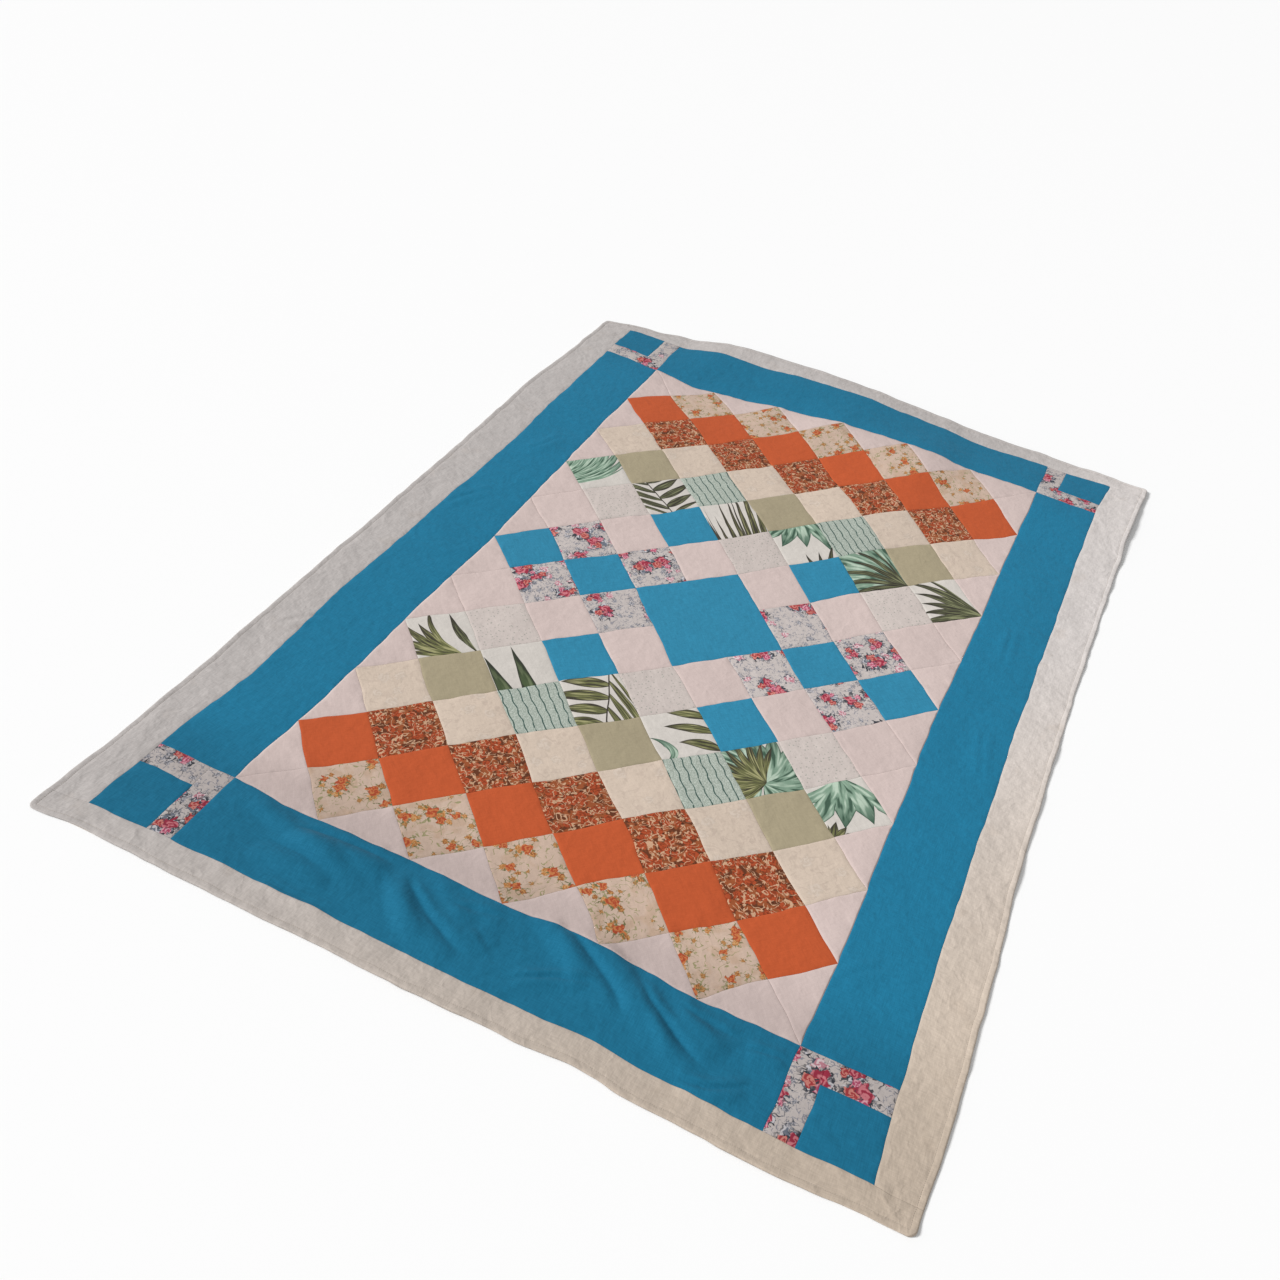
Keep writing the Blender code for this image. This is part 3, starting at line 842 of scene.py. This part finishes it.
LEAF_WINDOW = 0.3             # from one leaf patch's cut to the next on the printed cloth
LEAF_MOTIFS = (
    # patch, kind, foot along and up the patch (mm), turn (degrees), reach (mm), step (degrees, or mm on a
    # frond), half width (mm), spread (degrees, or forward lean on a frond), skew, curl, ink
    (0, "fan", 84, -4, 162, 150, 13, 12.0, 28, 0, 4.0, "olive"),
    (0, "fan", 111, -8, 118, 124, 20, 8.5, 9, 0, 2.2, "dusk"),
    (1, "fan", 57, -303, 98, 402, 30, 24.0, 9, 0, 0.0, "green"),
    (1, "fan", 57, -303, 88, 414, 30, 21.0, 9, 0, -0.1, "green"),
    (2, "frond", 97, 124, 251, 118, 34, 11.0, 0.70, 0.78, 1.5, "olive"),
    (3, "frond", 116, -30, 86, 92, 40, 10.0, 0.50, 0.0, -2.0, "olive"),
    (3, "fan", 4, -4, -10, 66, 40, 15.0, 19, 0, -28.0, "mint"),
    (4, "fan", 46, 26, 60, 150, 20, 21.0, 175, 0, -3.0, "mint"),
    (4, "fan", 52, 26, 146, 124, 14, 8.0, 76, 0, 3.0, "olive"),
    (5, "fan", 75, 126, 258, 160, 25, 25.0, 54, 0, 1.5, "mint"),
    (5, "fan", -8, -10, 36, 62, 26, 9.0, 44, 0, 2.0, "olive"),
    (6, "fan", -70, 70, 344, 290, 8.5, 14.0, 40, 0, -5.0, "mint"),
    (7, "frond", 54, -14, 100, 104, 31, 9.5, 0.58, 0.43, 1.5, "dusk"),
    (8, "fan", 60, -420, 97, 700, 2.3, 9.0, 8.4, 0, 0.25, "olive"),
    (8, "fan", 60, -420, 96, 660, 3.7, 3.6, 8.0, 0, 0.25, "dusk"),
    (9, "fan", 70, 160, 258, 150, 26, 22.0, 70, 0, 3.0, "mint"),
    (9, "fan", 70, -80, 98, 130, 16, 7.0, 28, 0, 2.0, "dusk"),
    (10, "fan", 116, -4, 138, 235, 18, 28.0, 72, 0, -1.5, "mint"),
    (10, "fan", 114, -4, 134, 190, 15, 7.0, 44, 0, -2.0, "dusk"),
    (11, "fan", 120, -6, 150, 180, 12, 11.0, 48, 0, -1.8, "dusk"),
)
LEAF_INKS = {
    # blade, tip, streak
    "olive": ("696B45", "3B3630", "A5A276"),
    "green": ("566943", "34372E", "84926A"),
    "dusk": ("54563F", "35302C", "868966"),
    "mint": ("7F9A86", "355041", "B8CAB8"),
}


def leaf_print(tree, vector, ground, patches):
    """Palm blades, fronds and broad mint leaves on off-white, as far as the numbered patches hold them."""
    ink = ground
    motifs = [motif for motif in LEAF_MOTIFS if motif[0] in patches]
    for number, kind, along, up, turn, reach, step, half, spread, skew, curl, inks in motifs:
        place = (number * LEAF_WINDOW + along * MM, up * MM, 0)
        single = kind == "fan" and spread < step / 2
        if kind == "fan":
            step, spread = np.radians(step), np.radians(spread)
        else:
            step = step * MM
        blade, tip, streak = (colour(code) for code in LEAF_INKS[inks])
        ink = place_group(tree, LEAF_KINDS[kind], Vector=vector, Under=ink, Place=place,
                          Turn=np.radians(turn), Reach=reach * MM, Uneven=0.0 if single else 0.3,
                          Step=step, Half_width=half * MM, Spread=spread, Skew=skew, Curl=curl,
                          Blade=blade, Tip=tip, Streak=streak)["Colour"]
    return ink


def near_leaf_print(tree, vector, ground):
    """The near row's six patches. One material can't hold the motifs of all twelve."""
    return leaf_print(tree, vector, ground, range(6))


def far_leaf_print(tree, vector, ground):
    """The far row's six patches."""
    return leaf_print(tree, vector, ground, range(6, 12))


CLOTHS = {
    "border blue": cloth_material("border blue cotton", colour("1D7395"), slub=1.25, crease=1.2),
    "blue": cloth_material("blue cotton", colour("3084A5"), slub=1.2, crease=1.0),
    "orange": cloth_material("burnt orange cotton", colour("BB5630"), slub=0.7),
    "pink": cloth_material("pale pink cotton", colour("CCBAB5"), slub=0.5),
    "sage": cloth_material("sage cotton", colour("A3987E"), slub=0.6),
    "cream": cloth_material("cream tonal print", colour("CCBBAB"), slub=0.6, printed=tonal_print),
    "rust": cloth_material("rust flower print", colour("96512F"), printed=rust_print),
    "meadow": cloth_material("meadow flower print", colour("C5AD9C"), slub=0.6, printed=meadow_print),
    "near leaf": cloth_material("palm leaf print", colour("CCC6BF"), slub=0.6, printed=near_leaf_print),
    "far leaf": cloth_material("palm leaf print, far", colour("CCC6BF"), slub=0.6, printed=far_leaf_print),
    "rose": cloth_material("rose print", colour("C1B8B4"), slub=0.6, printed=rose_print),
    "dotted": cloth_material("small dot print", colour("C7BCB6"), slub=0.6, printed=dotted_print),
    "wavy": cloth_material("wavy pinstripe print", colour("9CA69B"), slub=0.6, printed=wavy_print),
    "calico": cloth_material("cream calico", colour("BFB9B6"), crease=2.0, printed=calico_print),
}
BACKING = cloth_material("plain backing", colour("BDB0A4"))


def thread_material():
    """Cream thread with a faint twist."""
    material = bpy.data.materials.new("cream sewing thread")
    material.use_nodes = True
    tree = material.node_tree
    shader = tree.nodes["Principled BSDF"]
    place = add_node(tree, "TexCoord").outputs["Object"]
    ply = noise(tree, place, 0.0006, 1.0)
    tree.links.new(mixed(tree, ply, colour("9F9489"), colour("C9BFB3")), shader.inputs["Base Color"])
    shader.inputs["Roughness"].default_value = 0.6
    return material


# ---- patchwork: which cloth lies where, row by row out from the middle to either end
ROWS = (
    # patches from left to right; the big blue square takes the places marked None
    ("blue", "blue", None, None, "blue", "blue"),
    ("rose", "rose", None, "rose", "rose"),
    ("pink",) * 6,
    ("dotted", "blue", "dotted", "blue", "dotted"),
    ("leaf",) * 6,
    ("sage", "wavy", "sage", "wavy", "sage"),
    ("cream",) * 6,
    ("rust",) * 5,
    ("orange",) * 6,
    ("meadow",) * 5,
)


def cut_patches():
    """All the patches of the panel, by cloth."""
    cuts = {name: [] for name in CLOTHS}
    draw = np.random.default_rng(5)
    leaf_number = 0
    for row in range(1 - len(ROWS), len(ROWS)):
        cloths = ROWS[abs(row)]
        for place, cloth in enumerate(cloths):
            if cloth is None:
                continue
            middle_x = (place - (len(cloths) - 1) / 2) * PATCH_DIAGONAL
            cut_at, turns = tuple(draw.uniform(0, 0.8, 2)), int(draw.integers(4))
            if cloth in ("leaf", "wavy"):
                turns = 0
            if cloth == "leaf":
                cloth = "near leaf" if row < 0 else "far leaf"
                cut_at = (leaf_number * LEAF_WINDOW, 0.0)
                leaf_number += 1
            cuts[cloth].append(patch(middle_x, row * PATCH_DIAGONAL / 2, cut_at=cut_at, turns=turns))
    cuts["blue"].append(patch(0.0, 0.0, span=2))
    for row in range(1 - POINTS_ALONG, POINTS_ALONG, 2):
        cuts["pink"].append(patch(-PANEL_X, row * PATCH_DIAGONAL / 2, keep="right"))
        cuts["pink"].append(patch(PANEL_X, row * PATCH_DIAGONAL / 2, keep="left"))
    for place in range(POINTS_ACROSS):
        middle_x = (place - (POINTS_ACROSS - 1) / 2) * PATCH_DIAGONAL
        cuts["pink"].append(patch(middle_x, -PANEL_Y, keep="upper"))
        cuts["pink"].append(patch(middle_x, PANEL_Y, keep="lower"))
    return {name: patches for name, patches in cuts.items() if patches}


def sew_panel():
    """The patchwork, one piece for each cloth."""
    for cloth, patches in cut_patches().items():
        name = "patches_" + cloth.replace(" ", "_")
        area = sum(cut["area"] for cut in patches)
        sew(name, patches, CLOTHS[cloth], ["patchwork_panel"], flat=(PATCH, area / PATCH))


def sew_borders():
    """The four blue borders; the near one is divided finest, for its creases."""
    pieces = {
        "border_left": (-BLUE_X, -PANEL_X, -PANEL_Y, PANEL_Y),
        "border_right": (PANEL_X, BLUE_X, -PANEL_Y, PANEL_Y),
        "border_near": (-PANEL_X, PANEL_X, -BLUE_Y, -PANEL_Y),
        "border_far": (-PANEL_X, PANEL_X, PANEL_Y, BLUE_Y),
    }
    for name, (left, right, near, far) in pieces.items():
        step = CREASED_STEP if name == "border_near" else STRIP_STEP
        sew(f"{name}_cloth", [strip(left, right, near, far, step)], CLOTHS["border blue"],
            [name], flat=(right - left, far - near))


def sew_corners():
    """At each corner a blue square, with a rose strip on its two inner sides."""
    square = BORDER - CORNER_STRIP
    for end, sign_y in (("near", -1), ("far", 1)):
        for side, sign_x in (("left", -1), ("right", 1)):
            block_y = sorted((sign_y * PANEL_Y, sign_y * BLUE_Y))
            square_x = sorted((sign_x * BLOCK_X, sign_x * BLUE_X))
            square_y = sorted((sign_y * BLOCK_Y, sign_y * BLUE_Y))
            long_x = sorted((sign_x * PANEL_X, sign_x * BLOCK_X))
            short_y = sorted((sign_y * PANEL_Y, sign_y * BLOCK_Y))
            sew(f"corner_square_{end}_{side}_cloth", [strip(*square_x, *square_y)], CLOTHS["border blue"],
                [f"corner_square_{end}_{side}"], flat=(square, square))
            sew(f"corner_strip_long_{end}_{side}_cloth", [strip(*long_x, *block_y)], CLOTHS["rose"],
                [f"corner_strip_long_{end}_{side}"], flat=(CORNER_STRIP, BORDER))
            sew(f"corner_strip_short_{end}_{side}_cloth", [strip(*square_x, *short_y)], CLOTHS["rose"],
                [f"corner_strip_short_{end}_{side}"], flat=(square, CORNER_STRIP))


def sew_rim():
    """Four plain strips round the borders, whose outer sides are hemmed."""
    pieces = {
        "rim_left": (-EDGE_X, -BLUE_X, -BLUE_Y, BLUE_Y, "rnf"),
        "rim_right": (BLUE_X, EDGE_X, -BLUE_Y, BLUE_Y, "lnf"),
        "rim_near": (-EDGE_X, EDGE_X, -EDGE_Y, -BLUE_Y, "f"),
        "rim_far": (-EDGE_X, EDGE_X, BLUE_Y, EDGE_Y, "n"),
    }
    for name, (left, right, near, far, seams) in pieces.items():
        sew(f"{name}_cloth", [strip(left, right, near, far, seams=seams)], CLOTHS["calico"],
            [name], flat=(right - left, far - near))


def lay_backing():
    """The plain underside, which lies on the floor."""
    half_x, half_y = EDGE_X - BACKING_INSET, EDGE_Y - BACKING_INSET
    x_marks = np.linspace(-half_x, half_x, 119)
    y_marks = np.linspace(-half_y, half_y, 168)
    x, y = (grid.reshape(-1) for grid in np.meshgrid(x_marks, y_marks))
    laid_x, laid_y, floor = lay(*round_corners(x, y))
    points = np.stack([laid_x, laid_y, floor + BACKING_LIFT], axis=-1)
    piece = cloth_piece("back_cloth", points, grid_faces(len(x_marks), len(y_marks)),
                        np.stack([x, y], axis=-1), np.ones(len(x)), BACKING,
                        BACKING_THICKNESS, side=1)
    2 * EDGE_X
    2 * EDGE_Y


def make_stitch_rows():
    """Geometry nodes that set even stitches along a line."""
    tree = bpy.data.node_groups.new("stitches along a line", "GeometryNodeTree")
    tree.interface.new_socket("Line", in_out="INPUT", socket_type="NodeSocketGeometry")
    named = {}
    for label, kind in (("Pitch", "Float"), ("Stitch size", "Vector"), ("Thread", "Material")):
        socket = tree.interface.new_socket(label, in_out="INPUT", socket_type="NodeSocket" + kind)
        named[label] = socket.identifier
    tree.interface.new_socket("Stitches", in_out="OUTPUT", socket_type="NodeSocketGeometry")
    made = {label: tree.nodes.new(kind) for label, kind in (
        ("in", "NodeGroupInput"), ("line", "GeometryNodeMeshToCurve"),
        ("even", "GeometryNodeResampleCurve"), ("points", "GeometryNodeCurveToPoints"),
        ("turn", "FunctionNodeAlignRotationToVector"),
        ("stitch", "GeometryNodeMeshUVSphere"), ("set", "GeometryNodeInstanceOnPoints"),
        ("real", "GeometryNodeRealizeInstances"), ("smooth", "GeometryNodeSetShadeSmooth"),
        ("thread", "GeometryNodeSetMaterial"), ("out", "NodeGroupOutput"))}
    made["even"].mode = "LENGTH"
    made["points"].mode = "EVALUATED"
    made["turn"].axis = "X"
    made["stitch"].inputs["Segments"].default_value = 8
    made["stitch"].inputs["Rings"].default_value = 5
    made["stitch"].inputs["Radius"].default_value = 0.5
    for start, output, end, entry in (
            ("in", "Line", "line", "Mesh"), ("line", "Curve", "even", "Curve"),
            ("in", "Pitch", "even", "Length"), ("even", "Curve", "points", "Curve"),
            ("points", "Tangent", "turn", "Vector"),
            ("points", "Points", "set", "Points"), ("turn", "Rotation", "set", "Rotation"),
            ("stitch", "Mesh", "set", "Instance"), ("in", "Stitch size", "set", "Scale"),
            ("set", "Instances", "real", "Geometry"), ("real", "Geometry", "smooth", "Geometry"),
            ("smooth", "Geometry", "thread", "Geometry"), ("in", "Thread", "thread", "Material"),
            ("thread", "Geometry", "out", "Stitches")):
        tree.links.new(made[start].outputs[output], made[end].inputs[entry])
    return tree, named


def stitch_hem():
    """Topstitching that holds the hem down, all round the quilt."""
    half_x, half_y = EDGE_X - HEM, EDGE_Y - HEM
    across, along = np.linspace(-half_x, half_x, 261)[:-1], np.linspace(-half_y, half_y, 371)[:-1]
    x = np.concatenate([across, np.full_like(along, half_x), -across, np.full_like(along, -half_x)])
    y = np.concatenate([np.full_like(across, -half_y), along, np.full_like(across, half_y), -along])
    place = cloth_top(x, y, np.ones_like(x), np.ones_like(x))
    place[:, 2] += STITCH_THICKNESS * 0.3
    line = bpy.data.meshes.new("hem line")
    line.from_pydata(place.tolist(), [(at, (at + 1) % len(x)) for at in range(len(x))], [])
    guide = bpy.data.objects.new("hem line", line)
    bpy.context.scene.collection.objects.link(guide)
    tree, named = make_stitch_rows()
    rows = guide.modifiers.new("stitches", "NODES")
    rows.node_group = tree
    rows[named["Pitch"]] = STITCH_PITCH
    rows[named["Stitch size"]] = (STITCH_LENGTH, STITCH_THICKNESS, STITCH_THICKNESS)
    rows[named["Thread"]] = thread_material()
    made = guide.evaluated_get(bpy.context.evaluated_depsgraph_get())
    piece = bpy.data.objects.new("hem_topstitching", bpy.data.meshes.new_from_object(made))
    bpy.context.scene.collection.objects.link(piece)
    bpy.data.objects.remove(guide)
    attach(piece, "root")


# ---- stage

def make_camera():
    """A standing adult's view over the near right corner, a little rolled."""
    azimuth, elevation, roll = np.radians((19.41, 41.05, 9.09))
    camera = bpy.data.objects.new("camera", bpy.data.cameras.new("camera"))
    camera.data.lens = 36.34
    camera.data.sensor_width = 36.0
    turn = (Matrix.Rotation(azimuth, 4, "Z") @ Matrix.Rotation(np.pi / 2 - elevation, 4, "X")
            @ Matrix.Rotation(roll, 4, "Z"))
    camera.matrix_world = Matrix.Translation((0.5354, -1.8978, 1.6170)) @ turn
    bpy.context.scene.collection.objects.link(camera)
    bpy.context.scene.camera = camera


def make_stage():
    """A pale floor, a soft room and one broad low light from the near left."""
    bpy.ops.mesh.primitive_plane_add(size=60, location=(0, 0, -0.0005))
    floor = bpy.context.object
    floor.name = "floor"
    paint = bpy.data.materials.new("pale floor")
    paint.use_nodes = True
    paint.node_tree.nodes["Principled BSDF"].inputs["Base Color"].default_value = (0.95, 0.95, 0.95, 1)
    paint.node_tree.nodes["Principled BSDF"].inputs["Roughness"].default_value = 0.9
    floor.data.materials.append(paint)

    world = bpy.data.worlds.new("soft room")
    world.use_nodes = True
    world.node_tree.nodes["Background"].inputs["Color"].default_value = (1, 1, 1, 1)
    world.node_tree.nodes["Background"].inputs["Strength"].default_value = 0.45
    bpy.context.scene.world = world

    key_elevation, key_share = np.radians(33), 0.58
    key = bpy.data.objects.new("key light", bpy.data.lights.new("key light", "SUN"))
    key.data.energy = np.pi * key_share / np.sin(key_elevation)
    key.data.angle = np.radians(16)
    towards = Vector((np.cos(key_elevation) * 0.93, np.cos(key_elevation) * 0.37, -np.sin(key_elevation)))
    key.rotation_euler = towards.to_track_quat("-Z", "Y").to_euler()
    bpy.context.scene.collection.objects.link(key)
    bpy.context.scene.view_settings.view_transform = "Standard"


make_camera()
make_stage()
lay_backing()
sew_panel()
sew_borders()
sew_corners()
sew_rim()
stitch_hem()
